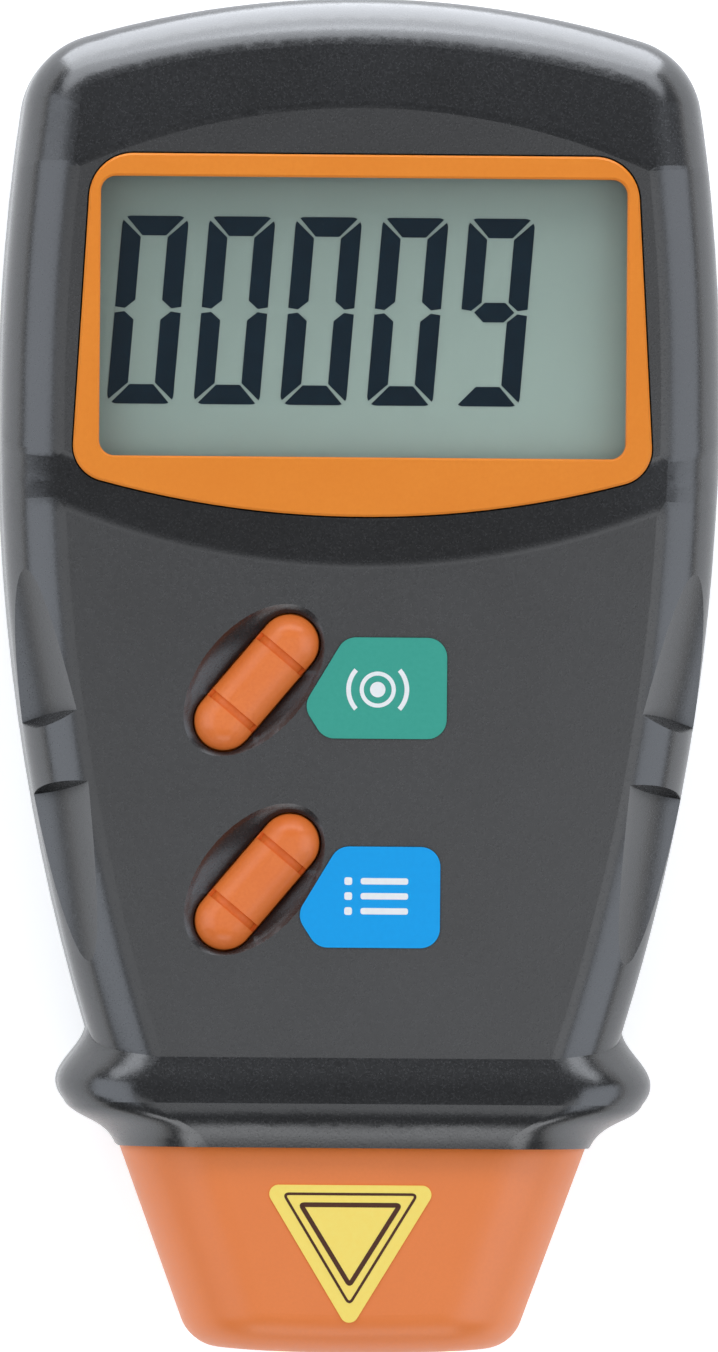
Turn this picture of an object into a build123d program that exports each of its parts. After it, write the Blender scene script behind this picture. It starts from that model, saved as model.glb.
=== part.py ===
from build123d import *
import math
import os

os.makedirs("parts", exist_ok=True)

# A hand-held optical tachometer, lying on its back with its keys up. Millimetres, +Z out of the
# keypad, -Y towards the nose that is pointed at the turning shaft. The origin is in the middle of
# the length and width, on the plane that the back rests on.

# Clearances
FIT_GAP = 0.15
SLIDE_GAP = 0.25
SEAT_GAP = 0.1

# Lengths along the meter, added up from its far end to the tip of its nose
FAR_MARGIN = 15.3
BORDER_RIM = 2.2
WINDOW_HEIGHT = 27.05
BORDER_CHIN = 5.75
KEYPAD_LENGTH = 61.1
NOSE_LENGTH = 20.0
BORDER_HEIGHT = BORDER_RIM + WINDOW_HEIGHT + BORDER_CHIN
LENGTH = FAR_MARGIN + BORDER_HEIGHT + KEYPAD_LENGTH + NOSE_LENGTH
END_Y = LENGTH / 2
TIP_Y = -LENGTH / 2
MOUTH_Y = TIP_Y + NOSE_LENGTH
BORDER_TOP_Y = END_Y - FAR_MARGIN
BORDER_LOW_Y = BORDER_TOP_Y - BORDER_HEIGHT
WINDOW_Y = BORDER_TOP_Y - BORDER_RIM - WINDOW_HEIGHT / 2

# Heights, stacked up from the plane that the back rests on
DOOR_SINK = 0.2
DOOR_FACE = 1.0
DOOR_TONGUE = 1.0
BATTERY_THICKNESS = 17.5
PAD_THICKNESS = 0.3
BOARD_THICKNESS = 1.6
ZEBRA_HEIGHT = 1.3
CELL_THICKNESS = 2.2
WELL_LEDGE = 0.8
PANE_THICKNESS = 1.2
BORDER_THICKNESS = 1.6
BORDER_PROUD = 0.2
PLATEAU_RISE = 1.4
PARTING_Z = 14.0
DOOR_TOP_Z = DOOR_SINK + DOOR_FACE + DOOR_TONGUE
BATTERY_Z = DOOR_TOP_Z + 2 * SEAT_GAP
BOARD_Z = BATTERY_Z + BATTERY_THICKNESS + PAD_THICKNESS
BOARD_TOP_Z = BOARD_Z + BOARD_THICKNESS
CELL_Z = BOARD_TOP_Z + ZEBRA_HEIGHT
CELL_TOP_Z = CELL_Z + CELL_THICKNESS
WELL_Z = CELL_TOP_Z + SEAT_GAP
PANE_Z = WELL_Z + WELL_LEDGE
BORDER_Z = PANE_Z + PANE_THICKNESS
PLATEAU_Z = BORDER_Z + BORDER_THICKNESS - BORDER_PROUD
FACE_Z = PLATEAU_Z - PLATEAU_RISE

# Case walls and plan outline: widest beside the display, narrowest at the neck behind the collar
WALL = 2.0
EDGE_RADIUS = 6.0
CREASE_RADIUS = 3.0
SEAM_DEPTH = 0.25
SEAM_HEIGHT = 0.12
HALF_WIDTH = 34.87
NECK_HALF = 26.03
NECK_LENGTH = 11.7
NECK_OVERLAP = 6.0
WIDEST_FROM_END = 39.7
END_RADIUS = 95.0
CORNER_RADIUS = 8.2
NECK_Y = MOUTH_Y + NECK_LENGTH
WIDEST_Y = END_Y - WIDEST_FROM_END
NECK_IN = HALF_WIDTH - NECK_HALF
SIDE_RADIUS = ((WIDEST_Y - NECK_Y) ** 2 + NECK_IN**2) / (2 * NECK_IN)

# Raised plateau round the display, with a ramp down to the keypad and a slope down to the far end
RAMP_GAP = 4.56
RAMP_LOW_RADIUS = 78.0
RAMP_WIDTH = 4.4
SLOPE_GAP = 4.9
SLOPE_RADIUS = 68.0
SLOPE_DEG = 14.0

# Flared collar round the nose, as sections: distance behind its mouth, half width beyond the
# neck's, height above the face, depth above the back
COLLAR_FLARE = [
    (NECK_LENGTH, -0.13, -0.5, 0.6),
    (9.4, 0.97, -0.2, 0.5),
    (7.3, 2.47, 0.5, 0.3),
    (4.3, 1.97, 1.3, 0.3),
]
COLLAR_LIP = [
    COLLAR_FLARE[-1],
    (3.3, 1.07, 1.25, 0.35),
    (2.3, -0.83, 1.0, 0.6),
    (1.2, -2.33, 0.5, 1.0),
    (0.0, -3.13, 0.0, 1.3),
]
COLLAR_RADIUS = 8.5
COLLAR_CAVITY_Y = MOUTH_Y + COLLAR_FLARE[-1][0]

# Finger scoops in the front shoulders: how far behind the mouth each is deepest and fades away,
# its depth and the turn of the steep wall that ends it
SCOOP_RADIUS = 15.0
SCOOP_FADE = 0.3
SCOOP_DRAFT = 20.0
SCOOP_RUNS = [(42.6, 55.7, 1.4, 36.0), (35.3, 15.6, 1.8, -6.0)]

# Nose
NOSE_IN = 3.43
NOSE_TAPER = 0.365
NOSE_LOW_Z = 2.9
NOSE_DROP = 1.4
NOSE_RISE = 0.05
NOSE_EDGE_RADIUS = 9.0
NOSE_TIP_RADIUS = 4.0
NOSE_END_RADIUS = 184.0
NOSE_WALL = 1.8
NOSE_END_WALL = 2.4
NOSE_FLANGE = 1.3
NOSE_EAR_GAP = 0.4
NOSE_HALF = NECK_HALF - NOSE_IN
NOSE_HIGH_Z = FACE_Z - NOSE_DROP
NOSE_EAR_HALF = NECK_HALF + COLLAR_FLARE[-1][1] - WALL - NOSE_EAR_GAP
NOSE_BACK_Y = COLLAR_CAVITY_Y + SEAT_GAP + NOSE_FLANGE

# Window in the end of the nose
PORT_MARGIN = 3.8
PORT_HEIGHT = 12.0
PORT_RADIUS = 5.0
PORT_REBATE = 1.2
PORT_SINK = 0.35
PORT_THICKNESS = 1.15
PORT_WIDTH = 2 * (NOSE_HALF - NOSE_TAPER * NOSE_LENGTH - PORT_MARGIN)

# Display: orange border, clear pane, glass cell, and the tray that holds the cell on the board
BORDER_TOP_IN = 8.47
BORDER_LOW_IN = 6.47
BORDER_SIDE = 0.9
BORDER_LOW_RADIUS = 98.0
BORDER_TOP_CORNER = 4.3
BORDER_LOW_CORNER = 3.5
WINDOW_RADIUS = 1.5
PANE_MARGIN = 1.2
PANE_RADIUS = 2.0
WELL_MARGIN = 1.6
CELL_MARGIN = 2.5
TRAY_WALL = 1.6
TRAY_LEDGE = 1.2
REFLECTOR_THICKNESS = 0.3
REFLECTOR_GAP = 0.5
ZEBRA_WIDTH = 2.0
BORDER_TOP_HALF = HALF_WIDTH - BORDER_TOP_IN
BORDER_LOW_HALF = HALF_WIDTH - BORDER_LOW_IN
WINDOW_WIDTH = 2 * (BORDER_TOP_HALF - BORDER_SIDE)
CELL_WIDTH = WINDOW_WIDTH + 2 * CELL_MARGIN
CELL_HEIGHT = WINDOW_HEIGHT + 2 * CELL_MARGIN

# Digits of the display, which lean as such digits do
DIGIT_PITCH = 8.39
DIGIT_MARGIN = 4.7
DIGIT_RAISE = 0.62
DIGIT_WIDTH = 6.4
DIGIT_HEIGHT = 18.2
DIGIT_STROKE = 1.9
DIGIT_GAP = 0.3
DIGIT_ROUND = 0.9
DIGIT_LEAN = 0.08
SEGMENT_THICKNESS = 0.06
SHOWN = ["abcdef"] * 4 + ["abcdfg"]

# Keys and their switches
KEY_CENTRES = {"test": (-10.0, BORDER_LOW_Y - 16.1), "mem": (-9.8, MOUTH_Y + 25.7)}
KEY_ANGLE = 50.0
KEY_LENGTH = 15.6
KEY_WIDTH = 5.7
KEY_PROUD = 1.4
KEY_ROUND = 2.4
KEY_TRAVEL = 0.6
KEY_FLANGE = 1.3
KEY_FLANGE_THICKNESS = 0.6
KEY_GROOVE_X = 3.6
KEY_GROOVE_WIDTH = 0.8
KEY_GROOVE_DEPTH = 0.4
DISH_BEYOND_END = 0.8
DISH_BEYOND_SIDE = 2.35
DISH_ASIDE = 0.35
DISH_RAISE = 0.5
DISH_DEPTH = 1.5
SWITCH_SIZE = 6.0
SWITCH_HEIGHT = 1.5
SWITCH_CORNER = 0.5
SWITCH_FOOT = (0.7, 0.7, 0.25)
SWITCH_FOOT_Y = 2.2
PLUNGER_RADIUS = 1.6
KEY_FLANGE_Z = FACE_Z - WALL - SEAT_GAP - KEY_FLANGE_THICKNESS
KEY_TOP_Z = FACE_Z + KEY_PROUD

# Flat fields of colour, each with its near corner at a place measured from its key
LABEL_THICKNESS = 0.12
LABEL_WIDTH = 9.9
LABEL_HEIGHT = 9.8
LABEL_LEAN_X = 2.0
LABEL_LEAN_Y = 6.7
LABEL_POINT = 4.0
LABEL_RADIUS = 1.9
LABEL_OFFSETS = {"test": (18.4, 4.44), "mem": (17.7, 3.5)}
POINTER_X = -0.5
POINTER_WIDTH = 16.2
POINTER_BACK = 3.6
POINTER_TIP = 16.9
POINTER_RADIUS = 0.9

# Battery, its snap and leads
BATTERY_LENGTH = 46.4
BATTERY_WIDTH = 26.5
BATTERY_ROUND = 2.0
BATTERY_EDGE = 0.5
BATTERY_INSET = 11.1
STUD_HEIGHT = 2.1
STUD_RADIUS = 2.9
STUD_WIDER = 1.0
STUD_SPACING = 12.7
SNAP_THICKNESS = 4.2
SNAP_SIDE_IN = 1.0
SNAP_FACE_IN = 2.25
SNAP_ROUND = 3.0
PAD_SIDE_IN = 1.5
PAD_END_IN = 2.0
LEAD_RADIUS = 0.65
LEAD_X = 4.0
LEAD_STRAIGHT = 5.4
LEAD_SLANT = (3.2, 3.4)
LEAD_BEND = 0.45
BATTERY_Y = END_Y - BATTERY_INSET - BATTERY_LENGTH
BATTERY_MIDDLE_Z = BATTERY_Z + BATTERY_THICKNESS / 2

# Battery bay and the door that slides over it
BAY_GAP = 0.5
BAY_WALL = 1.2
BAY_LEAD_ROOM = 2.1
BAY_BOARD_GAP = 0.7
BAY_NOTCH = 5.0
DOOR_LAP = 1.75
DOOR_TONGUE_LAP = 1.5
DOOR_REACH = 4.2
RAIL_TOP = 1.4
RAIL_WIDTH = 2.0
RIDGE_COUNT = 5
RIDGE_PITCH = 1.6
RIDGE_WIDTH = 0.8
RIDGE_DEPTH = 0.4
RIDGE_LENGTH = 15.5
RIDGE_FROM_END = 19.0
BAY_HALF = BATTERY_WIDTH / 2 + BAY_GAP
BAY_LOW_Y = BATTERY_Y - SNAP_THICKNESS - BAY_LEAD_ROOM - BAY_GAP
BAY_HIGH_Y = BATTERY_Y + BATTERY_LENGTH + BAY_GAP
BAY_TOP_Z = BOARD_Z - BAY_BOARD_GAP
DOOR_HALF = BAY_HALF + DOOR_LAP
DOOR_TONGUE_HALF = DOOR_HALF + DOOR_TONGUE_LAP
DOOR_INNER_Y = BAY_LOW_Y - BAY_WALL - DOOR_REACH

# Main board and what is soldered to its underside
BOARD_EDGE_GAP = 1.9
BOARD_SHOULDER_Y = MOUTH_Y + 6.5
BOARD_FRONT_Y = MOUTH_Y + 2.1
BOARD_NECK_HALF = 17.0
CHIP_PLACE = (3.0, MOUTH_Y + 23.7)
CHIP_SIZE = 10.0
CHIP_HEIGHT = 1.4
CHIP_STANDOFF = 0.1
CHIP_LEADS = 9
CHIP_LEAD_PITCH = 1.0
CHIP_LEAD = (1.6, 0.4)
CRYSTAL_PLACE = (-12.0, MOUTH_Y + 19.7)
CRYSTAL_SIZE = (11.0, 4.4, 3.4)
CRYSTAL_ROUND = 0.6
CAPACITOR_PLACES = [(15.5, MOUTH_Y + 31.7), (-15.5, MOUTH_Y + 33.7)]
CAPACITOR_RADIUS = 3.1
CAPACITOR_HEIGHT = 7.0
CAPACITOR_ROUND = 0.5
CAPACITOR_CRIMP = (0.3, 1.2, 1.8)
RESISTOR_PLACES = [(x, MOUTH_Y + y) for x in (11.0, 15.0) for y in (23.7, 20.7, 17.7)]
RESISTOR_SIZE = (3.2, 1.6, 0.6)
HEADER_COUNT = 4
HEADER_PITCH = 2.54
HEADER_SIZE = 2.5
HEADER_PIN = 0.6
HEADER_PIN_PROUD = 0.2
HEADER_XS = [(i - (HEADER_COUNT - 1) / 2) * HEADER_PITCH for i in range(HEADER_COUNT)]

# Screws. The drive, rounding and point are shares of the head or shank
DRIVE_LENGTH = 1.1
DRIVE_WIDTH = 0.24
HEAD_ROUND = 0.45
POINT = 0.4
SCREW_PLAY = 0.05
CASE_SCREW_PLACES = [
    (hand * x, y)
    for hand in (-1, 1)
    for x, y in ((HALF_WIDTH - 8.27, END_Y - 9.6), (NECK_HALF - 5.63, NECK_Y + 4.0))
]
CASE_BOSS_RADIUS = 3.2
CASE_BOSS_OUTER = 4.1
CASE_BOSS_Z = PARTING_Z - 2.0
CASE_HEAD_RADIUS = 2.6
CASE_HEAD_HEIGHT = 1.8
CASE_HEAD_Z = 5.0
CASE_SHANK_RADIUS = 1.25
CASE_SHANK_REACH = 8.0
BOARD_SCREW_PLACES = [(-24.0, BORDER_LOW_Y - 9.4), (24.0, BORDER_LOW_Y - 9.4), (0.0, MOUTH_Y + 9.7)]
BOARD_BOSS_RADIUS = 2.6
BOARD_HEAD_RADIUS = 2.2
BOARD_HEAD_HEIGHT = 1.4
BOARD_SHANK_RADIUS = 0.95
BOARD_SHANK_REACH = 2.6

# Optics behind the nose window, on two axes that look out along -Y. The lens takes the width
# that the laser's barrel leaves inside the nose
OPTICS_Z = (NOSE_LOW_Z + NOSE_HIGH_Z) / 2
OPTICS_SET_BACK = 0.4
TUBE_FRONT_Y = TIP_Y + NOSE_END_WALL + OPTICS_SET_BACK
TUBE_HALF = NOSE_HALF - NOSE_TAPER * (MOUTH_Y - TUBE_FRONT_Y) - NOSE_WALL
BARREL_RADIUS = 4.0
BARREL_LENGTH = 13.0
BARREL_WALL = 0.9
BARREL_TUBE = BARREL_RADIUS + FIT_GAP + BARREL_WALL
BARREL_SIDE_GAP = 2.7
LENS_SIDE_GAP = 1.1
TUBE_SPACING = 0.75
LENS_TUBE = TUBE_HALF - BARREL_TUBE - (BARREL_SIDE_GAP + LENS_SIDE_GAP + TUBE_SPACING) / 2
LENS_TUBE_WALL = 1.4
LENS_RADIUS = LENS_TUBE - LENS_TUBE_WALL
LENS_THICKNESS = 3.4
LENS_EDGE = 1.4
LENS_SEAT = 0.8
LENS_X = LENS_SIDE_GAP + LENS_TUBE - TUBE_HALF
BARREL_X = TUBE_HALF - BARREL_SIDE_GAP - BARREL_TUBE
LENS_FRONT_Y = TUBE_FRONT_Y + SEAT_GAP
LENS_BACK_Y = LENS_FRONT_Y + LENS_THICKNESS
SENSOR_MOUTH = 3.0
SENSOR_RADIUS = 2.5
SENSOR_LENGTH = 4.0
SENSOR_BASE = (2.9, 0.9)
BARREL_BACK_Y = LENS_FRONT_Y + BARREL_LENGTH
LASER_PORT = 1.6
LASER_LIP = 1.0
LASER_LENS = (2.5, 1.6)
LASER_LENS_CURVE = 5.0
LASER_BORE = 2.2
DIODE_SINK = 3.4
DIODE_BASE = (2.8, 1.2)
DIODE_CAP = (1.9, 2.0)
DIODE_PIN = 0.22
DIODE_PINS = [(-1.0, -0.6), (1.0, -0.6), (0.0, 1.1)]
HOLDER_BACK_Y = MOUTH_Y - 0.9
HOLDER_FLANGE = 2.0
HOLDER_WEB = 3.0
OPTICS_STANDOFF = 1.0
OPTICS_STANDOFF_RADIUS = 2.0
OPTICS_BOARD_HALF = NOSE_HALF - 7.6
OPTICS_BOARD_HEIGHT = 15.0
OPTICS_BOARD_THICKNESS = 1.2
OPTICS_BOARD_CORNER = 0.5
OPTICS_SCREW_PLACES = [(hand * (OPTICS_BOARD_HALF - 2.4), OPTICS_Z - 4.8) for hand in (-1, 1)]
OPTICS_HEAD = (1.6, 1.1)
OPTICS_SHANK_RADIUS = 0.75
OPTICS_SEAT_Y = HOLDER_BACK_Y + OPTICS_STANDOFF

REACH = 200.0
LOW = (Align.CENTER, Align.CENTER, Align.MIN)


def slab(sketch, low, high):
    """A flat sketch raised from one height to another."""
    return extrude(Pos(0, 0, low) * sketch, high - low)


def rod(radius, start, end):
    """A round rod from one point to another."""
    way = Vector(*end) - Vector(*start)
    return Plane(origin=start, z_dir=way) * Cylinder(radius, way.length, align=LOW)


def both_sides(shape):
    return shape + mirror(shape, Plane.YZ)


def at_places(shape, places):
    parts = [Pos(x, y, 0) * shape for x, y in places]
    return parts[0] + parts[1:]


def block(half, low_y, high_y, low_z, high_z):
    """A block across the middle of the meter."""
    return Pos(0, (low_y + high_y) / 2, low_z) * Box(2 * half, high_y - low_y, high_z - low_z, align=LOW)


def upright(middle_z, width, height, radius, low_y, high_y):
    """A rounded plate or bar that stands across the meter's length."""
    plane = Plane(origin=(0, high_y, middle_z), x_dir=(1, 0, 0), z_dir=(0, -1, 0))
    return extrude(plane * RectangleRounded(width, height, radius), high_y - low_y)


# Outside of the case


def side_circle(inset, hand):
    return Pos(hand * (HALF_WIDTH - SIDE_RADIUS), WIDEST_Y) * Circle(SIDE_RADIUS - inset)


def outline(inset=0.0, front=NECK_Y - NECK_OVERLAP):
    """The plan outline of the case: two long side arcs, an end arc and rounded far corners."""
    shape = side_circle(inset, 1) & side_circle(inset, -1)
    shape &= Pos(0, END_Y - END_RADIUS) * Circle(END_RADIUS - inset)
    shape &= Pos(0, front + REACH / 2) * Rectangle(REACH, REACH)
    corners = shape.vertices().sort_by(Axis.Y)[-2:]
    return fillet(corners, CORNER_RADIUS - inset)


def cone_cutter(y, radius, height, steepness, low, high):
    """A cone of the given radius at a height, wider below by 1 / steepness for each mm."""
    foot = radius + (height - low) / steepness
    head = radius - (high - height) / steepness
    return Pos(0, y, low) * Cone(foot, head, high - low, align=LOW)


def front_top(inset, base):
    """The front half's walls and its stepped, sloping top, with creases softened."""
    face = FACE_Z - PARTING_Z - inset
    plateau = PLATEAU_Z - PARTING_Z - inset
    rise = PLATEAU_RISE / RAMP_WIDTH
    ramp_y = BORDER_LOW_Y - RAMP_GAP + RAMP_LOW_RADIUS
    ramp = cone_cutter(ramp_y, RAMP_LOW_RADIUS - RAMP_WIDTH, plateau, rise, base, plateau + 1)
    slope_y = BORDER_TOP_Y + SLOPE_GAP - SLOPE_RADIUS
    drop = math.tan(math.radians(SLOPE_DEG))
    slope = cone_cutter(slope_y, SLOPE_RADIUS, plateau, drop, base, plateau + 1)
    body = slab(outline(inset), base, face) + (slab(outline(inset), base, plateau) & ramp)
    body &= slope
    arcs = body.edges().filter_by(GeomType.CIRCLE)
    creases = [e for e in arcs if e.center().Z > face / 2 and abs(e.center().X) < 0.01]
    return fillet(creases, CREASE_RADIUS)


def rim_edges(body, inset, height):
    """The edges where the walls meet the top or the back."""
    wall = outline(inset).face().outer_wire()
    found = []
    for edge in body.edges():
        middle = edge.position_at(0.5)
        flat = edge.geom_type == GeomType.LINE
        if not flat and middle.Z > height and wall.distance_to(Vertex(middle.X, middle.Y, 0)) < 0.05:
            found.append(edge)
    return found


def collar_station(y, half, height, base, inset):
    """One D-shaped section of the collar, standing on the base."""
    plane = Plane(origin=(0, y, 0), x_dir=(1, 0, 0), z_dir=(0, -1, 0))
    shape = Pos(0, (height - inset + base) / 2) * Rectangle(2 * (half - inset), height - inset - base)
    return plane * fillet(shape.vertices().sort_by(Axis.Y)[-2:], COLLAR_RADIUS - inset)


def collar_run(stations, front, base, inset):
    sections = []
    for behind, wider, above, below in stations:
        height = FACE_Z - PARTING_Z + above if front else PARTING_Z - below
        sections.append(collar_station(MOUTH_Y + behind, NECK_HALF + wider, height, base, inset))
    return loft(sections)


def shoulder(behind, out):
    """A point out from the middle of the shoulder's rounding, at a distance behind the mouth."""
    y = MOUTH_Y + behind
    width = HALF_WIDTH - SIDE_RADIUS + math.sqrt(SIDE_RADIUS**2 - (y - WIDEST_Y) ** 2)
    aside = out * math.sqrt(0.5)
    return Vector(width - EDGE_RADIUS + aside, y, FACE_Z - PARTING_Z - EDGE_RADIUS + aside)


def scoop_cutter(deep, faded, depth, turn, inset):
    """A finger scoop's round cutter, which rises out of the shoulder away from its steep wall."""
    start = shoulder(deep, EDGE_RADIUS + SCOOP_RADIUS - depth)
    end = shoulder(faded, EDGE_RADIUS + SCOOP_RADIUS + SCOOP_FADE)
    way = (end - start).normalized()
    start -= way * SCOOP_RADIUS
    rod = Cylinder(SCOOP_RADIUS + inset, (end - start).length, align=LOW)
    turned = math.radians(turn)
    facing = math.copysign(1, faded - deep)
    wall = Vector(facing * math.sin(turned), facing * math.cos(turned), 0)
    wall += Vector(0, 0, math.tan(math.radians(SCOOP_DRAFT)))
    foot = shoulder(deep, 0) + Vector(0, 0, EDGE_RADIUS) - wall.normalized() * inset
    room = Box(REACH, REACH, REACH, align=LOW)
    return (Plane(origin=start, z_dir=way) * rod) & (Plane(origin=foot, z_dir=wall) * room)


def case_half(front, inset, base):
    """One half of the case's outside, standing on the parting plane and shrunk by inset."""
    if front:
        body = front_top(inset, base)
        level = FACE_Z - PARTING_Z
    else:
        body = slab(outline(inset), base, PARTING_Z - inset)
        level = PARTING_Z
    body = fillet(rim_edges(body, inset, level / 2), EDGE_RADIUS - inset)
    if front:
        for run in SCOOP_RUNS:
            body -= both_sides(scoop_cutter(*run, inset))
    body += collar_run(COLLAR_FLARE, front, base, inset)
    if inset < WALL:
        body += collar_run(COLLAR_LIP, front, base, inset)
    return body


def front_form(inset=0.0, base=0.0):
    return Pos(0, 0, PARTING_Z) * case_half(True, inset, base)


def back_form(inset=0.0, base=0.0):
    return Pos(0, 0, PARTING_Z) * mirror(case_half(False, inset, base), Plane.XY)


# Outside of the nose


def nose_section(y, inset):
    along = MOUTH_Y - y
    half = NOSE_HALF - NOSE_TAPER * along - inset
    low = NOSE_LOW_Z + NOSE_RISE * along + inset
    high = NOSE_HIGH_Z - NOSE_RISE * along - inset
    radius = NOSE_EDGE_RADIUS - NOSE_RISE * along - inset
    plane = Plane(origin=(0, y, (low + high) / 2), x_dir=(1, 0, 0), z_dir=(0, -1, 0))
    return plane * RectangleRounded(2 * half, high - low, radius)


def nose_form(inset, back_y, tip_y):
    """The tapering nose from back_y to tip_y, with its sides moved in by inset."""
    return loft([nose_section(back_y, inset), nose_section(tip_y, inset)], ruled=True)


def nose_outside():
    body = nose_form(0, NOSE_BACK_Y, TIP_Y)
    body &= Pos(0, TIP_Y + NOSE_END_RADIUS, 0) * Cylinder(NOSE_END_RADIUS, REACH)
    face = body.faces().sort_by(Axis.Y)[0]
    return fillet(face.edges(), NOSE_TIP_RADIUS)


def port_plate(shrink, low_y, high_y):
    """An upright plate in the outline of the nose's window, moved in by shrink."""
    wide = PORT_WIDTH - 2 * shrink
    high = PORT_HEIGHT - 2 * shrink
    return upright(OPTICS_Z, wide, high, PORT_RADIUS - shrink, low_y, high_y)


# Display


def border_outline(grow=0.0):
    """The border's outline: sides that spread towards the keypad and an arched lower edge."""
    top = BORDER_TOP_Y + grow
    low = BORDER_LOW_Y - grow
    corners = [(-BORDER_LOW_HALF - grow, low), (BORDER_LOW_HALF + grow, low)]
    corners += [(BORDER_TOP_HALF + grow, top), (-BORDER_TOP_HALF - grow, top)]
    arch = BORDER_LOW_RADIUS + grow
    shape = make_face(Polyline(*corners, close=True)) & (Pos(0, low + arch) * Circle(arch))
    shape = fillet(shape.vertices().sort_by(Axis.Y)[-2:], BORDER_TOP_CORNER + grow)
    below = WINDOW_Y - WINDOW_HEIGHT / 4
    edges = [v for v in shape.vertices() if v.Y < below and abs(v.X) > BORDER_TOP_HALF]
    return fillet(edges, BORDER_LOW_CORNER + grow)


def window_outline(grow=0.0, radius=WINDOW_RADIUS):
    wide = WINDOW_WIDTH + 2 * grow
    high = WINDOW_HEIGHT + 2 * grow
    return Pos(0, WINDOW_Y) * RectangleRounded(wide, high, radius)


def display_border():
    border = slab(border_outline() - window_outline(), BORDER_Z, BORDER_Z + BORDER_THICKNESS)
    top = border.faces().sort_by(Axis.Z)[-1]
    return chamfer(top.edges(), BORDER_PROUD)


def display_window():
    return slab(window_outline(PANE_MARGIN, PANE_RADIUS), PANE_Z, BORDER_Z)


def cell_plate(grow_x, grow_y, low, high):
    """A plate on the display's middle, larger than the glass cell by the given amounts each side."""
    plate = Rectangle(CELL_WIDTH + 2 * grow_x, CELL_HEIGHT + 2 * grow_y)
    return slab(Pos(0, WINDOW_Y) * plate, low, high)


def lcd_cell():
    return cell_plate(0, 0, CELL_Z, CELL_TOP_Z)


def lcd_tray():
    """The tray that clamps the glass cell to the board."""
    outer = FIT_GAP + TRAY_WALL
    tray = cell_plate(outer, outer, BOARD_TOP_Z, CELL_TOP_Z)
    tray -= cell_plate(FIT_GAP, FIT_GAP, CELL_Z, WELL_Z)
    return tray - cell_plate(-TRAY_LEDGE, -TRAY_LEDGE, BOARD_TOP_Z - 1, CELL_Z + 1)


def zebra_strips():
    """The two rubber connector strips that join the cell's edges to the board."""
    across = CELL_HEIGHT / 2 - TRAY_LEDGE - SEAT_GAP - ZEBRA_WIDTH / 2
    strip = Rectangle(CELL_WIDTH - 2 * TRAY_LEDGE - 2 * FIT_GAP, ZEBRA_WIDTH)
    strips = [slab(Pos(0, WINDOW_Y + hand * across) * strip, BOARD_TOP_Z, CELL_Z) for hand in (-1, 1)]
    return Compound(strips)


def lcd_reflector():
    side = TRAY_LEDGE + REFLECTOR_GAP
    return cell_plate(-side, -side - ZEBRA_WIDTH, CELL_Z - REFLECTOR_THICKNESS, CELL_Z)


def segment_shapes():
    """The seven segments of one upright digit, with mitred ends and a gap between them."""
    half = DIGIT_WIDTH / 2
    top = DIGIT_HEIGHT / 2
    stroke = DIGIT_STROKE
    gap = DIGIT_GAP
    bar = [(-half + gap, top), (half - gap, top), (half - stroke - gap / 2, top - stroke)]
    bar.append((-half + stroke + gap / 2, top - stroke))
    post = [(half, top - gap), (half, gap), (half - stroke / 2, gap / 2)]
    post += [(half - stroke, stroke / 2), (half - stroke, top - stroke - gap / 2)]
    wing = half - stroke / 2 - gap
    waist = [(-wing, 0), (stroke / 2 - wing, stroke / 2), (wing - stroke / 2, stroke / 2)]
    waist += [(wing, 0), (wing - stroke / 2, -stroke / 2), (stroke / 2 - wing, -stroke / 2)]
    return {
        "a": bar,
        "b": post,
        "c": [(x, -y) for x, y in post],
        "d": [(x, -y) for x, y in bar],
        "e": [(-x, -y) for x, y in post],
        "f": [(-x, y) for x, y in post],
        "g": waist,
    }


def digit_shape(place, points):
    """A shape drawn on an upright digit, moved to its place on the display and leant over."""
    middle = DIGIT_MARGIN - WINDOW_WIDTH / 2 + place * DIGIT_PITCH
    leant = [(middle + x + DIGIT_LEAN * y, WINDOW_Y + DIGIT_RAISE + y) for x, y in points]
    return make_face(Polyline(*leant, close=True))


def lcd_segments():
    """The dark segments of the digits, which lie on the glass cell."""
    shapes = segment_shapes()
    half = DIGIT_WIDTH / 2
    top = DIGIT_HEIGHT / 2
    corners = [(-half, -top), (half, -top), (half, top), (-half, top)]
    solids = []
    for place, letters in enumerate(SHOWN):
        whole = digit_shape(place, corners)
        whole = fillet(whole.vertices(), DIGIT_ROUND)
        for letter in letters:
            face = digit_shape(place, shapes[letter]) & whole
            solids.append(slab(face, CELL_TOP_Z, CELL_TOP_Z + SEGMENT_THICKNESS))
    return Compound(solids)


# Keys and their switches


def key_place(name):
    return Pos(*KEY_CENTRES[name], 0) * Rot(0, 0, KEY_ANGLE)


def key_outline(grow=0.0):
    return SlotOverall(KEY_LENGTH + 2 * grow, KEY_WIDTH + 2 * grow)


def key_pill(inset):
    """The pill-shaped part of a key with its rounded top, drawn in by inset."""
    pill = slab(key_outline(-inset), KEY_FLANGE_Z, KEY_TOP_Z - inset)
    top = pill.faces().sort_by(Axis.Z)[-1]
    return fillet(top.edges(), KEY_ROUND - inset)


def key(name):
    """A pill-shaped key with two grooves across it and a flange that holds it in."""
    pill = key_pill(0)
    outer = pill - key_pill(KEY_GROOVE_DEPTH)
    band = Box(KEY_GROOVE_WIDTH, REACH, REACH)
    for x in (-KEY_GROOVE_X, KEY_GROOVE_X):
        pill -= outer & (Pos(x, 0, FACE_Z - WALL / 2 + REACH / 2) * band)
    pill += slab(key_outline(KEY_FLANGE), KEY_FLANGE_Z, KEY_FLANGE_Z + KEY_FLANGE_THICKNESS)
    return key_place(name) * pill


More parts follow.
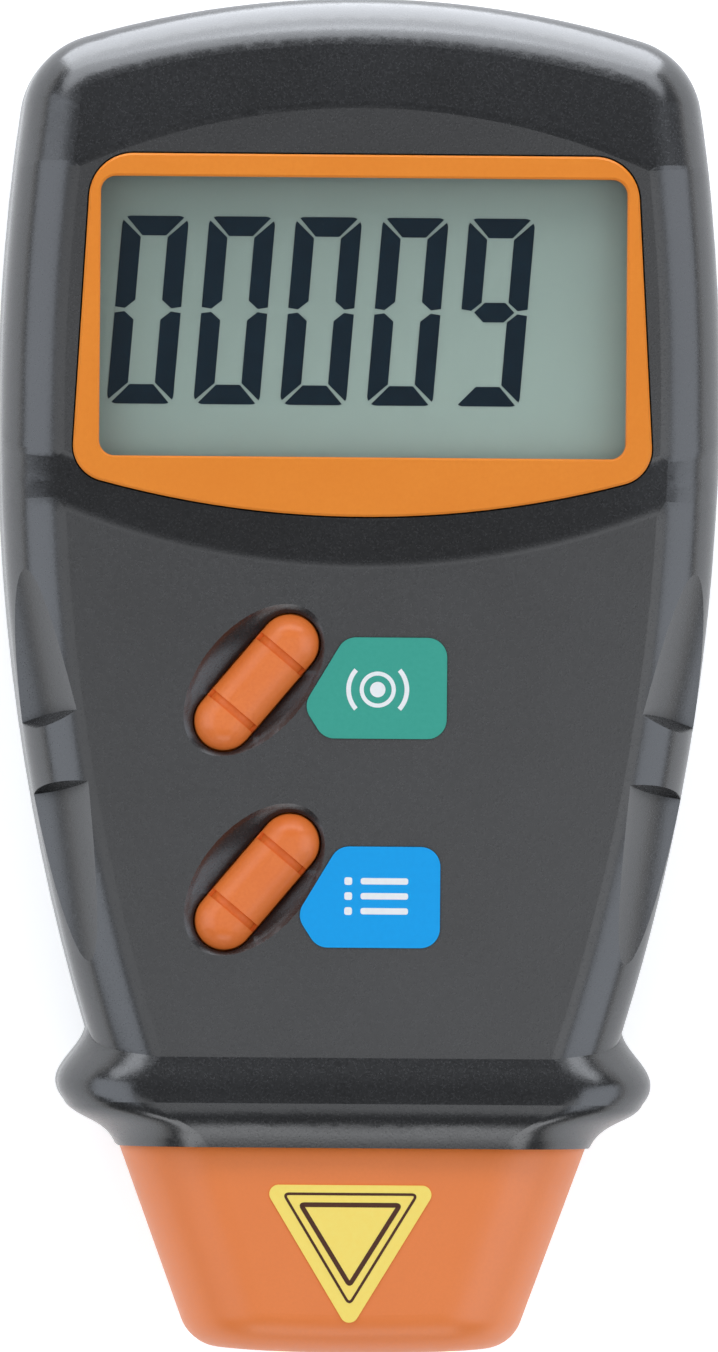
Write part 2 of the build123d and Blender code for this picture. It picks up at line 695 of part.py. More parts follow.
def key_well(name):
    """What is cut from the face for a key: its hole and the smooth oval dish round it."""
    hole = slab(key_outline(FIT_GAP), FACE_Z - WALL - 1, FACE_Z + 1)
    spread = 1 / math.sqrt(1 - DISH_RAISE**2)
    half_length = spread * (KEY_LENGTH / 2 + DISH_BEYOND_END)
    half_width = spread * (KEY_WIDTH / 2 + DISH_BEYOND_SIDE)
    half_height = DISH_DEPTH / (1 - DISH_RAISE)
    dish = scale(Sphere(1), by=(half_length, half_width, half_height))
    return key_place(name) * (hole + Pos(0, DISH_ASIDE, FACE_Z + DISH_RAISE * half_height) * dish)


def switch(name):
    """A low push switch on the board: a square case with four feet and a bored middle."""
    body = slab(Rectangle(SWITCH_SIZE, SWITCH_SIZE), BOARD_TOP_Z, BOARD_TOP_Z + SWITCH_HEIGHT)
    body = chamfer(body.edges().filter_by(Axis.Z), SWITCH_CORNER)
    out, wide, thick = SWITCH_FOOT
    feet = slab(Rectangle(SWITCH_SIZE + 2 * out, wide), BOARD_TOP_Z, BOARD_TOP_Z + thick)
    for y in (-SWITCH_FOOT_Y, SWITCH_FOOT_Y):
        body += Pos(0, y, 0) * feet
    body -= slab(Circle(PLUNGER_RADIUS + FIT_GAP), BOARD_TOP_Z - 1, KEY_FLANGE_Z)
    return key_place(name) * body


def plunger(name):
    """The round stem under a key, which reaches down into the switch."""
    foot = BOARD_TOP_Z + KEY_TRAVEL + SEAT_GAP
    return key_place(name) * slab(Circle(PLUNGER_RADIUS), foot, KEY_FLANGE_Z)


# Flat fields of colour


def key_label(name):
    """A field beside a key: two square corners away from it, a slanted side and a point near it."""
    left = -LABEL_WIDTH
    points = [(0, 0), (left, 0), (left - LABEL_POINT, -LABEL_LEAN_Y)]
    points += [(left - LABEL_LEAN_X, -LABEL_HEIGHT), (0, -LABEL_HEIGHT)]
    shape = make_face(Polyline(*points, close=True))
    shape = fillet(shape.vertices(), LABEL_RADIUS)
    x, y = KEY_CENTRES[name]
    right, up = LABEL_OFFSETS[name]
    return Pos(x + right, y + up, 0) * slab(shape, FACE_Z, FACE_Z + LABEL_THICKNESS)


def nose_label():
    """A plain pointer on the nose, which shows the way the light goes."""
    roof = Plane(origin=(0, MOUTH_Y, NOSE_HIGH_Z), x_dir=(1, 0, 0), z_dir=(0, -NOSE_RISE, 1))
    half = POINTER_WIDTH / 2 + POINTER_RADIUS / 2
    points = [(POINTER_X - half, -POINTER_BACK), (POINTER_X + half, -POINTER_BACK)]
    points.append((POINTER_X, -POINTER_TIP - POINTER_RADIUS))
    shape = make_face(Polyline(*points, close=True))
    return roof * extrude(fillet(shape.vertices(), POINTER_RADIUS), LABEL_THICKNESS)


# Case shells


def seam(core, low, high):
    """What is cut from a shell's rim, so that the two shells meet in a fine groove."""
    return slab(Rectangle(REACH, REACH), low, high) - core


def parting_lip(grow):
    """The thin lip inside the rear shell's rim, which the front shell fits over."""
    front = NECK_Y + WALL
    ring = outline(WALL / 2 + FIT_GAP - grow, front) - outline(WALL, front - 1)
    return slab(ring, PARTING_Z - grow, PARTING_Z + WALL / 2 + grow)


def front_shell():
    form = front_form()
    shell = form - front_form(WALL, -1)
    well = slab(border_outline(WELL_MARGIN), WELL_Z, PLATEAU_Z)
    bosses = at_places(slab(Circle(CASE_BOSS_RADIUS), CASE_BOSS_Z, PLATEAU_Z), CASE_SCREW_PLACES)
    bosses += at_places(slab(Circle(BOARD_BOSS_RADIUS), BOARD_TOP_Z, PLATEAU_Z), BOARD_SCREW_PLACES)
    shell += (well + bosses) & (form + slab(Rectangle(REACH, REACH), CASE_BOSS_Z, PARTING_Z))
    shell -= slab(border_outline(FIT_GAP), BORDER_Z, PLATEAU_Z + 1)
    shell -= slab(window_outline(PANE_MARGIN + FIT_GAP, PANE_RADIUS), PANE_Z, BORDER_Z)
    shell -= slab(window_outline(SLIDE_GAP), WELL_Z - 1, PANE_Z)
    case_bore = Circle(CASE_SHANK_RADIUS + SCREW_PLAY)
    case_bore = slab(case_bore, CASE_BOSS_Z - 1, CASE_BOSS_Z + CASE_SHANK_REACH + 2 * SLIDE_GAP)
    board_bore = Circle(BOARD_SHANK_RADIUS + SCREW_PLAY)
    board_bore = slab(board_bore, BOARD_TOP_Z - 1, BOARD_TOP_Z + BOARD_SHANK_REACH + SLIDE_GAP)
    shell -= at_places(case_bore, CASE_SCREW_PLACES) + at_places(board_bore, BOARD_SCREW_PLACES)
    for name in KEY_CENTRES:
        shell -= key_well(name)
    shell -= parting_lip(SEAT_GAP)
    shell -= nose_form(-FIT_GAP, COLLAR_CAVITY_Y + 1, TIP_Y)
    return shell - seam(front_form(SEAM_DEPTH), PARTING_Z, PARTING_Z + SEAM_HEIGHT)


def door_channel():
    """The slot that the door slides in, open at the far end."""
    inner = DOOR_INNER_Y - SLIDE_GAP
    tongue_z = DOOR_SINK + DOOR_FACE - SLIDE_GAP
    slot = block(DOOR_HALF + SLIDE_GAP, inner, REACH, -1, tongue_z)
    return slot + block(DOOR_TONGUE_HALF + SLIDE_GAP, inner, REACH, tongue_z, DOOR_TOP_Z + SLIDE_GAP)


def rear_shell():
    form = back_form()
    shell = form - back_form(WALL, -1)
    rail_top = DOOR_TOP_Z + SLIDE_GAP + RAIL_TOP
    rail_half = DOOR_TONGUE_HALF + SLIDE_GAP + RAIL_WIDTH
    stop_y = DOOR_INNER_Y - SLIDE_GAP - RAIL_WIDTH
    rails = block(rail_half, stop_y, END_Y, 0, rail_top)
    rails -= block(BAY_HALF, stop_y + RAIL_WIDTH, REACH, -1, rail_top + 1)
    walls = block(BAY_HALF + BAY_WALL, BAY_LOW_Y - BAY_WALL, BAY_HIGH_Y + BAY_WALL, 0, BAY_TOP_Z)
    walls -= block(BAY_HALF, BAY_LOW_Y, BAY_HIGH_Y, -1, BAY_TOP_Z + 1)
    notch_y = BAY_LOW_Y - 2 * BAY_WALL
    walls -= block(BAY_HALF, notch_y, BAY_LOW_Y + 1, PARTING_Z - BAY_NOTCH, BAY_TOP_Z + 1)
    boss = slab(Circle(CASE_BOSS_OUTER), 0, CASE_BOSS_Z)
    tall = form + slab(outline(WALL + BAY_WALL), PARTING_Z - 1, BAY_TOP_Z)
    shell += (rails & form) + (walls & tall) + (at_places(boss, CASE_SCREW_PLACES) & form)
    shell += parting_lip(0)
    head_bore = slab(Circle(CASE_HEAD_RADIUS + SLIDE_GAP), -1, CASE_HEAD_Z + CASE_HEAD_HEIGHT)
    shank_bore = slab(Circle(CASE_SHANK_RADIUS + FIT_GAP), -1, CASE_BOSS_Z + 1)
    shell -= at_places(head_bore, CASE_SCREW_PLACES) + at_places(shank_bore, CASE_SCREW_PLACES)
    shell -= door_channel()
    shell -= nose_form(-FIT_GAP, COLLAR_CAVITY_Y + 1, TIP_Y)
    return shell - seam(back_form(SEAM_DEPTH), PARTING_Z - SEAM_HEIGHT, PARTING_Z)


def battery_door():
    """The sliding door: a face plate with two tongues, ridges for a thumb and the case's own end."""
    plate = block(DOOR_HALF, DOOR_INNER_Y, REACH, 0, DOOR_SINK + DOOR_FACE)
    plate += block(DOOR_TONGUE_HALF, DOOR_INNER_Y, REACH, DOOR_SINK + DOOR_FACE, DOOR_TOP_Z)
    plate &= back_form(DOOR_SINK)
    for step in range(RIDGE_COUNT):
        y = END_Y - RIDGE_FROM_END + RIDGE_PITCH * step
        plate -= block(RIDGE_LENGTH / 2, y, y + RIDGE_WIDTH, 0, DOOR_SINK + RIDGE_DEPTH)
    return plate


def nose_cover():
    """The orange nose: a tapering hood with ears behind the collar and a rebated window hole."""
    body = nose_outside()
    high = NOSE_HIGH_Z - NOSE_LOW_Z
    front = NOSE_BACK_Y - NOSE_FLANGE
    body += upright(OPTICS_Z, 2 * NOSE_EAR_HALF, high, NOSE_EDGE_RADIUS, front, NOSE_BACK_Y)
    body -= nose_form(NOSE_WALL, NOSE_BACK_Y + 1, TIP_Y + NOSE_END_WALL)
    body -= port_plate(0, TIP_Y - 1, TIP_Y + PORT_SINK + PORT_THICKNESS)
    return body - port_plate(PORT_REBATE, TIP_Y, TIP_Y + NOSE_LENGTH)


def nose_window():
    front = TIP_Y + PORT_SINK
    return port_plate(FIT_GAP, front, front + PORT_THICKNESS)


# Screws


def screw(head_radius, head_height, shank_radius, shank_length):
    """A pan-head screw that points up, with its head's seat at zero."""
    head = slab(Circle(head_radius), -head_height, 0)
    head = fillet(head.faces().sort_by(Axis.Z)[0].edges(), head_height * HEAD_ROUND)
    for turn in (0, 90):
        slot = Rot(0, 0, turn) * Rectangle(head_radius * DRIVE_LENGTH, head_radius * DRIVE_WIDTH)
        head -= slab(slot, -head_height - 1, -head_height * HEAD_ROUND)
    shank = slab(Circle(shank_radius), 0, shank_length)
    tip = shank.faces().sort_by(Axis.Z)[-1].edges()
    return head + chamfer(tip, shank_radius * POINT)


def case_screws():
    seat = CASE_HEAD_Z + CASE_HEAD_HEIGHT
    length = CASE_BOSS_Z + CASE_SHANK_REACH - seat
    one = screw(CASE_HEAD_RADIUS, CASE_HEAD_HEIGHT, CASE_SHANK_RADIUS, length)
    return Compound([Pos(x, y, seat) * one for x, y in CASE_SCREW_PLACES])


def board_screws():
    length = BOARD_THICKNESS + BOARD_SHANK_REACH
    one = screw(BOARD_HEAD_RADIUS, BOARD_HEAD_HEIGHT, BOARD_SHANK_RADIUS, length)
    return Compound([Pos(x, y, BOARD_Z) * one for x, y in BOARD_SCREW_PLACES])


# Main board and what is on it


def main_board():
    shape = outline(WALL + BOARD_EDGE_GAP, BOARD_SHOULDER_Y)
    neck = Rectangle(2 * BOARD_NECK_HALF, BOARD_SHOULDER_Y - BOARD_FRONT_Y + 1)
    shape += Pos(0, (BOARD_SHOULDER_Y + BOARD_FRONT_Y + 1) / 2) * neck
    for x, y in CASE_SCREW_PLACES:
        shape -= Pos(x, y) * Circle(CASE_BOSS_RADIUS + 2 * SLIDE_GAP)
    for x, y in BOARD_SCREW_PLACES:
        shape -= Pos(x, y) * Circle(BOARD_SHANK_RADIUS + FIT_GAP)
    return slab(shape, BOARD_Z, BOARD_TOP_Z)


def controller_chip():
    """A square chip with a row of leads on each side."""
    chip = slab(Rectangle(CHIP_SIZE, CHIP_SIZE), BOARD_Z - CHIP_HEIGHT, BOARD_Z - CHIP_STANDOFF)
    length, width = CHIP_LEAD
    pin = slab(Rectangle(length, width), BOARD_Z - CHIP_HEIGHT / 2, BOARD_Z)
    out = (CHIP_SIZE + length) / 2 - length / 5
    for turn in (0, 90, 180, 270):
        for step in range(CHIP_LEADS):
            offset = (step - (CHIP_LEADS - 1) / 2) * CHIP_LEAD_PITCH
            chip += Rot(0, 0, turn) * Pos(out, offset, 0) * pin
    return Pos(*CHIP_PLACE, 0) * chip


def crystal():
    length, width, height = CRYSTAL_SIZE
    can = slab(SlotOverall(length, width), BOARD_Z - height, BOARD_Z)
    return Pos(*CRYSTAL_PLACE, 0) * fillet(can.faces().sort_by(Axis.Z)[0].edges(), CRYSTAL_ROUND)


def capacitors():
    """Two round cans, each with a crimped ring near the board."""
    can = slab(Circle(CAPACITOR_RADIUS), BOARD_Z - CAPACITOR_HEIGHT, BOARD_Z)
    can = fillet(can.faces().sort_by(Axis.Z)[0].edges(), CAPACITOR_ROUND)
    depth, high, low = CAPACITOR_CRIMP
    ring = Circle(CAPACITOR_RADIUS + 1) - Circle(CAPACITOR_RADIUS - depth)
    can -= slab(ring, BOARD_Z - low, BOARD_Z - high)
    return Compound([Pos(x, y, 0) * can for x, y in CAPACITOR_PLACES])


def resistors():
    length, width, height = RESISTOR_SIZE
    chip = slab(Rectangle(length, width), BOARD_Z - height, BOARD_Z)
    return Compound([Pos(x, y, 0) * chip for x, y in RESISTOR_PLACES])


# Optics


def along(radius, x, low_y, high_y):
    """A round rod on an optical axis."""
    return rod(radius, (x, high_y, OPTICS_Z), (x, low_y, OPTICS_Z))


def optics_holder():
    """The black chassis inside the nose: a flange and two joined tubes."""
    flange_front = HOLDER_BACK_Y - HOLDER_FLANGE
    body = nose_form(NOSE_WALL + FIT_GAP, HOLDER_BACK_Y, flange_front)
    body += along(LENS_TUBE, LENS_X, TUBE_FRONT_Y, HOLDER_BACK_Y)
    body += along(BARREL_TUBE, BARREL_X, TUBE_FRONT_Y, HOLDER_BACK_Y)
    web_length = flange_front - TUBE_FRONT_Y - HOLDER_FLANGE
    web = Box(BARREL_X - LENS_X, web_length, HOLDER_WEB, align=(Align.MIN, Align.MAX, Align.CENTER))
    body += Pos(LENS_X, flange_front, OPTICS_Z) * web
    for x, z in OPTICS_SCREW_PLACES:
        body += rod(OPTICS_STANDOFF_RADIUS, (x, HOLDER_BACK_Y, z), (x, OPTICS_SEAT_Y, z))
    for x, z in OPTICS_SCREW_PLACES:
        bore = OPTICS_SHANK_RADIUS + SCREW_PLAY
        body -= rod(bore, (x, OPTICS_SEAT_Y + 1, z), (x, flange_front - 1, z))
    body -= along(LENS_RADIUS + SEAT_GAP, LENS_X, TUBE_FRONT_Y - 1, LENS_BACK_Y)
    cone = Cone(LENS_RADIUS - LENS_SEAT, SENSOR_MOUTH, HOLDER_BACK_Y - LENS_BACK_Y + 1, align=LOW)
    body -= Plane(origin=(LENS_X, LENS_BACK_Y, OPTICS_Z), z_dir=(0, 1, 0)) * cone
    return body - along(BARREL_RADIUS + FIT_GAP, BARREL_X, TUBE_FRONT_Y - 1, HOLDER_BACK_Y + 1)


def lens(x, front_y, radius, length, curve):
    """A lens with a flat back and a front of the given radius of curvature."""
    half_angle = math.asin(radius / curve) / 2
    plane = Plane(origin=(x, front_y, OPTICS_Z), x_dir=(1, 0, 0), z_dir=(0, 0, 1))
    middle = (curve * math.sin(half_angle), curve * (1 - math.cos(half_angle)))
    rim = (radius, curve * (1 - math.cos(2 * half_angle)))
    profile = ThreePointArc((0, 0), middle, rim) + Polyline(rim, (radius, length), (0, length), (0, 0))
    return revolve(plane * make_face(profile), Axis((x, front_y, OPTICS_Z), (0, 1, 0)))


def collector_lens():
    """A plano-convex lens with its dome towards the window."""
    dome = LENS_THICKNESS - LENS_EDGE
    return lens(LENS_X, LENS_FRONT_Y, LENS_RADIUS, LENS_THICKNESS, (LENS_RADIUS**2 + dome**2) / (2 * dome))


def laser_barrel():
    """The brass barrel: a small port in front, a seat for its lens and a wider bore for the diode."""
    lens_y = LENS_FRONT_Y + LASER_LIP
    lens_radius, lens_length = LASER_LENS
    wide = DIODE_BASE[0] + SEAT_GAP
    seat = BARREL_BACK_Y - DIODE_SINK
    body = along(BARREL_RADIUS, BARREL_X, LENS_FRONT_Y, BARREL_BACK_Y)
    body -= along(LASER_PORT, BARREL_X, LENS_FRONT_Y - 1, lens_y + 1)
    body -= along(lens_radius + SEAT_GAP, BARREL_X, lens_y, lens_y + lens_length)
    body -= along(LASER_BORE, BARREL_X, lens_y, seat + 1)
    return body - along(wide, BARREL_X, seat, BARREL_BACK_Y + 1)


def laser_lens():
    return lens(BARREL_X, LENS_FRONT_Y + LASER_LIP, *LASER_LENS, LASER_LENS_CURVE)


def laser_diode():
    """A small metal can on a wider base, with three pins to the board behind it."""
    base = BARREL_BACK_Y - DIODE_SINK
    base_radius, base_length = DIODE_BASE
    cap_radius, cap_length = DIODE_CAP
    body = along(base_radius, BARREL_X, base, base + base_length)
    body += along(cap_radius, BARREL_X, base - cap_length, base)
    for x, z in DIODE_PINS:
        start = (BARREL_X + x, base + base_length, OPTICS_Z + z)
        body += rod(DIODE_PIN, start, (BARREL_X + x, OPTICS_SEAT_Y, OPTICS_Z + z))
    return body


def photodiode():
    """A domed sensor on the optics board, on the lens's axis."""
    tip = OPTICS_SEAT_Y - SENSOR_LENGTH
    base_radius, base_length = SENSOR_BASE
    body = along(SENSOR_RADIUS, LENS_X, tip, OPTICS_SEAT_Y)
    body += Pos(LENS_X, tip, OPTICS_Z) * Sphere(SENSOR_RADIUS)
    return body + along(base_radius, LENS_X, OPTICS_SEAT_Y - base_length, OPTICS_SEAT_Y)


def optics_board():
    back = OPTICS_SEAT_Y + OPTICS_BOARD_THICKNESS
    wide = 2 * OPTICS_BOARD_HALF
    board = upright(OPTICS_Z, wide, OPTICS_BOARD_HEIGHT, OPTICS_BOARD_CORNER, OPTICS_SEAT_Y, back)
    for x, z in OPTICS_SCREW_PLACES:
        board -= rod(OPTICS_SHANK_RADIUS + FIT_GAP, (x, OPTICS_SEAT_Y - 1, z), (x, back + 1, z))
    return board


def optics_screws():
    length = OPTICS_BOARD_THICKNESS + OPTICS_STANDOFF + HOLDER_FLANGE
    one = Rot(90, 0, 0) * screw(*OPTICS_HEAD, OPTICS_SHANK_RADIUS, length)
    seat = OPTICS_SEAT_Y + OPTICS_BOARD_THICKNESS
    return Compound([Pos(x, seat, z) * one for x, z in OPTICS_SCREW_PLACES])


def header_pins():
    """Pins that join the optics board to the main board."""
    start = OPTICS_SEAT_Y + OPTICS_BOARD_THICKNESS
    length = BOARD_FRONT_Y + SEAT_GAP + HEADER_SIZE + HEADER_PIN_PROUD - start
    pin = Box(HEADER_PIN, length, HEADER_PIN, align=(Align.CENTER, Align.MIN, Align.CENTER))
    return Compound([Pos(x, start, BOARD_Z - HEADER_SIZE / 2) * pin for x in HEADER_XS])


def header_block():
    size = (HEADER_COUNT * HEADER_PITCH, HEADER_SIZE, HEADER_SIZE)
    body = Pos(0, BOARD_FRONT_Y + SEAT_GAP, BOARD_Z) * Box(*size, align=(Align.CENTER, Align.MIN, Align.MAX))
    for x in HEADER_XS:
        body -= Pos(x, BOARD_FRONT_Y, BOARD_Z - HEADER_SIZE / 2) * Box(HEADER_PIN, REACH, HEADER_PIN)
    return body


# Battery


def studs(grow, low_y, high_y):
    """The two studs at the battery's end, one wider than the other."""
    wider = {-1: 0.0, 1: STUD_WIDER}
    rods = []
    for hand, more in wider.items():
        x = hand * STUD_SPACING / 2
        start = (x, high_y, BATTERY_MIDDLE_Z)
        rods.append(rod(STUD_RADIUS + more + grow, start, (x, low_y, BATTERY_MIDDLE_Z)))
    return rods


def battery():
    size = (BATTERY_WIDTH, BATTERY_THICKNESS, BATTERY_ROUND)
    body = upright(BATTERY_MIDDLE_Z, *size, BATTERY_Y, BATTERY_Y + BATTERY_LENGTH)
    body = chamfer(body.faces().filter_by(Axis.Y).edges(), BATTERY_EDGE)
    return body + studs(0, BATTERY_Y - STUD_HEIGHT, BATTERY_Y)


def battery_snap():
    """The cap that presses on to the battery's studs."""
    high = BATTERY_Y - SEAT_GAP
    wide = BATTERY_WIDTH - 2 * SNAP_SIDE_IN
    deep = BATTERY_THICKNESS - 2 * SNAP_FACE_IN
    cap = upright(BATTERY_MIDDLE_Z, wide, deep, SNAP_ROUND, high - SNAP_THICKNESS, high)
    return cap - studs(FIT_GAP, BATTERY_Y - STUD_HEIGHT - FIT_GAP, BATTERY_Y)


def battery_pad():
    """The foam between the battery and the board."""
    size = Rectangle(BATTERY_WIDTH - 2 * PAD_SIDE_IN, BATTERY_LENGTH - 2 * PAD_END_IN)
    return slab(Pos(0, BATTERY_Y + BATTERY_LENGTH / 2) * size, BOARD_Z - PAD_THICKNESS, BOARD_Z)


def lead(x):
    """A wire from the snap up to the underside of the board, in straight runs and wide arcs."""
    start_y = BATTERY_Y - SEAT_GAP - SNAP_THICKNESS
    turn_y = start_y - LEAD_STRAIGHT
    end_y = turn_y - LEAD_SLANT[0]
    points = [
        (x, start_y, BATTERY_MIDDLE_Z),
        (x, turn_y, BATTERY_MIDDLE_Z),
        (x, end_y, BATTERY_MIDDLE_Z + LEAD_SLANT[1]),
        (x, end_y, BOARD_Z),
    ]
    corners = [Vector(*p) for p in points]
    radii = []
    for a, b, c in zip(corners, corners[1:], corners[2:]):
        half_turn = math.radians((b - a).get_angle(c - b) / 2)
        radii.append(LEAD_BEND * min((b - a).length, (c - b).length) / math.tan(half_turn))
    path = FilletPolyline(*points, radius=radii)
    section = Plane(origin=points[0], z_dir=corners[1] - corners[0]) * Circle(LEAD_RADIUS)
    return sweep(section, path=path)


pieces = {
    "front_shell": front_shell(),
    "rear_shell": rear_shell(),
    "battery_door": battery_door(),
    "nose_cover": nose_cover(),
    "nose_window": nose_window(),
    "display_border": display_border(),
    "display_window": display_window(),
    "lcd_tray": lcd_tray(),
    "lcd_cell": lcd_cell(),
    "lcd_segments": lcd_segments(),
    "lcd_reflector": lcd_reflector(),
    "zebra_strips": zebra_strips(),
    "nose_label": nose_label(),
    "main_board": main_board(),
    "controller_chip": controller_chip(),
    "crystal": crystal(),
    "capacitors": capacitors(),
    "resistors": resistors(),
    "header_block": header_block(),
    "header_pins": header_pins(),
    "board_screws": board_screws(),
    "case_screws": case_screws(),
    "optics_holder": optics_holder(),
    "collector_lens": collector_lens(),
    "photodiode": photodiode(),
    "laser_barrel": laser_barrel(),
    "laser_lens": laser_lens(),
    "laser_diode": laser_diode(),
    "optics_board": optics_board(),
    "optics_screws": optics_screws(),
    "battery": battery(),
    "battery_snap": battery_snap(),
    "battery_pad": battery_pad(),
    "red_lead": lead(LEAD_X),
    "black_lead": lead(-LEAD_X),
}
for name in KEY_CENTRES:
    pieces[f"{name}_key"] = key(name)
    pieces[f"{name}_plunger"] = plunger(name)
    pieces[f"{name}_switch"] = switch(name)
    pieces[f"{name}_label"] = key_label(name)

for name, shape in pieces.items():
    export_step(shape, f"parts/{name}.step")
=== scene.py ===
import bmesh
import bpy
import math
from mathutils import Matrix, Vector


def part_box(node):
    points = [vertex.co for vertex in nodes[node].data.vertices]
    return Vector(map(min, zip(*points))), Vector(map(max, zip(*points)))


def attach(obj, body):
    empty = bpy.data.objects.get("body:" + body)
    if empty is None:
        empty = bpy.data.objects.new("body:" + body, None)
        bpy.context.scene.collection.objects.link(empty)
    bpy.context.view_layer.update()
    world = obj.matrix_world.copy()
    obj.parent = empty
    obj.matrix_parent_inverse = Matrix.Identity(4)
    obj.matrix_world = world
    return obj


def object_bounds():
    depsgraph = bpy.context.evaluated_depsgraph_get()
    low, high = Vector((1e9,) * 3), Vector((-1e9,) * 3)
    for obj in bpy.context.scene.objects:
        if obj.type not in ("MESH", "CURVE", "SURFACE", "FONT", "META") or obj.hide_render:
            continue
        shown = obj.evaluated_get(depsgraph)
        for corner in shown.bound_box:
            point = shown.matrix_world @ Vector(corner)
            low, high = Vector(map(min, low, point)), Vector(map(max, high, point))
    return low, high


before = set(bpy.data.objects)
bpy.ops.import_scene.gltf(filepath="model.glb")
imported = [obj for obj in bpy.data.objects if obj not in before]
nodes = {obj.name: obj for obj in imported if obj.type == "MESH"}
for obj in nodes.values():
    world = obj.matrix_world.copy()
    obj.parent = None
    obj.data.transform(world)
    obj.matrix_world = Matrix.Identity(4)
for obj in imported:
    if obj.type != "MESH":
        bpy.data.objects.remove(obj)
cad_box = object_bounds()

# Case shells and battery door
# Two halves and a sliding door, injection moulded in dark grey ABS. The mould was spark eroded,
# so the skin is full of fine pits that spread every reflection into a soft sheen.
MM = 0.001
PIT_LEVELS = (0.3, 0.7)
PIT_DULL = 0.05
FLECK_LEVELS = (0.12, 0.4)
# Painted shade: how far the occlusion looks for hollows, in mm, and the occlusion levels over which the
# gloss fades to nothing.
HOLLOW = 4.0
HOLLOW_LEVELS = (0.45, 0.9)


def linear(code):
    """An sRGB hex colour as the linear colour that a shader takes."""
    parts = [int(code[i:i + 2], 16) / 255 for i in (1, 3, 5)]
    return [p / 12.92 if p <= 0.04045 else ((p + 0.055) / 1.055) ** 2.4 for p in parts] + [1.0]


def add(tree, kind, settings=None, links=None):
    """Adds a node of that kind, with its settings and what feeds its sockets."""
    made = tree.nodes.new("ShaderNode" + kind)
    for name, value in (settings or {}).items():
        if isinstance(name, int) or name in made.inputs:
            made.inputs[name].default_value = value
        else:
            setattr(made, name, value)
    for name, socket in (links or {}).items():
        tree.links.new(socket, made.inputs[name])
    return made


def start(name):
    """An empty material, its tree and the object's own coordinates."""
    made = bpy.data.materials.new(name)
    made.use_nodes = True
    made.node_tree.nodes.clear()
    place = add(made.node_tree, "TexCoord")
    return made, made.node_tree, place.outputs["Object"]


def close(tree, shader):
    """Joins the last shader to the material's output."""
    add(tree, "OutputMaterial", {}, {"Surface": shader.outputs[0]})


def dress(finish, *names):
    """Puts a finish on the named CAD nodes."""
    for name in names:
        for slot in nodes[name].material_slots:
            slot.material = finish


def moulded(name, dark, light, rough, grain, depth, cloud=9.0, gloss=0.5, ior=1.53):
    """Moulded plastic: two close tints that drift over `cloud` mm and fleck with the grain, and a
    skin of pits `grain` mm apart and `depth` mm deep that dulls the gloss where it is deepest. The
    gloss also fades in narrow hollows found by ambient occlusion, as painted shade."""
    made, tree, place = start(name)
    pits = add(tree, "TexNoise", {"Scale": 1 / (grain * MM), "Detail": 2.0, "Roughness": 0.6},
               {"Vector": place})
    drift = add(tree, "TexNoise", {"Scale": 1 / (cloud * MM), "Detail": 3.0}, {"Vector": place})
    share = add(tree, "Math", {"operation": "MULTIPLY"}, {0: pits.outputs[0], 1: drift.outputs[0]})
    fleck = add(tree, "MapRange", {"From Min": FLECK_LEVELS[0], "From Max": FLECK_LEVELS[1]},
                {"Value": share.outputs[0]})
    tint = add(tree, "Mix", {"data_type": "RGBA", 6: linear(dark), 7: linear(light)},
               {0: fleck.outputs[0]})
    dull = add(tree, "MapRange", {"From Min": PIT_LEVELS[0], "From Max": PIT_LEVELS[1],
                                  "To Min": rough - PIT_DULL, "To Max": rough + PIT_DULL},
               {"Value": pits.outputs[0]})
    skin = add(tree, "Bump", {"Strength": 1.0, "Distance": depth * MM}, {"Height": pits.outputs[0]})
    # Painted shade: the gloss fades where ambient occlusion finds a narrow hollow, so wells, gaps and
    # creases go dark.
    hollow_shade = add(tree, "AmbientOcclusion", {"Distance": HOLLOW * MM, "samples": 8})
    sheen = add(tree, "MapRange", {"From Min": HOLLOW_LEVELS[0], "From Max": HOLLOW_LEVELS[1],
                                   "To Max": gloss}, {"Value": hollow_shade.outputs["AO"]})
    shader = add(tree, "BsdfPrincipled", {"IOR": ior},
                 {"Base Color": tint.outputs[2], "Roughness": dull.outputs[0],
                  "Normal": skin.outputs[0], "Specular IOR Level": sheen.outputs[0]})
    close(tree, shader)
    return made


spark_eroded_abs = moulded("spark_eroded_abs", "#121315", "#1D1E20", rough=0.24, grain=0.22,
                           depth=0.006, gloss=0.9, ior=1.6)
dress(spark_eroded_abs, "front_shell", "rear_shell", "battery_door")

# Sensing nose
# A tapered cap moulded in orange ABS from a finely blasted mould. It is smoother than the case,
# with a satin gloss that lightens where its corners turn away.
blasted_orange_abs = moulded("blasted_orange_abs", "#EC7B2D", "#F07F31", rough=0.42, grain=0.3,
                             depth=0.003, gloss=0.9)
dress(blasted_orange_abs, "nose_cover")

# Display border
# A bezel moulded in a yellower orange, with a smooth satin front. It drops into a pocket of the
# case and leaves a thin dark gap all round.
satin_orange_abs = moulded("satin_orange_abs", "#E88420", "#EC8A26", rough=0.42, grain=0.4,
                           depth=0.003, gloss=0.35)
dress(satin_orange_abs, "display_border")

# Keys
# Two slanted pill caps moulded in soft orange ABS, each with two grooves across it. Thumbs keep
# them a little glossier than the nose.
soft_orange_abs = moulded("soft_orange_abs", "#E67430", "#EC7D38", rough=0.34, grain=0.35, depth=0.003)
dress(soft_orange_abs, "test_key", "mem_key")

# Window pane
# A flat sheet of clear acrylic, polished on both sides, set into the border. Lamps shine through
# it, and a thin reflection shows on it at a slant.
acrylic, tree, _ = start("polished_acrylic")
pane = add(tree, "BsdfPrincipled", {"Base Color": linear("#FBFDFC"), "Roughness": 0.02, "IOR": 1.49,
                                    "Transmission Weight": 1.0})
open_pane = add(tree, "BsdfTransparent", {"Color": linear("#F6FAF8")})
ray = add(tree, "LightPath")
lit = add(tree, "MixShader", {}, {0: ray.outputs["Is Shadow Ray"], 1: pane.outputs[0],
                                  2: open_pane.outputs[0]})
close(tree, lit)
dress(acrylic, "display_window")
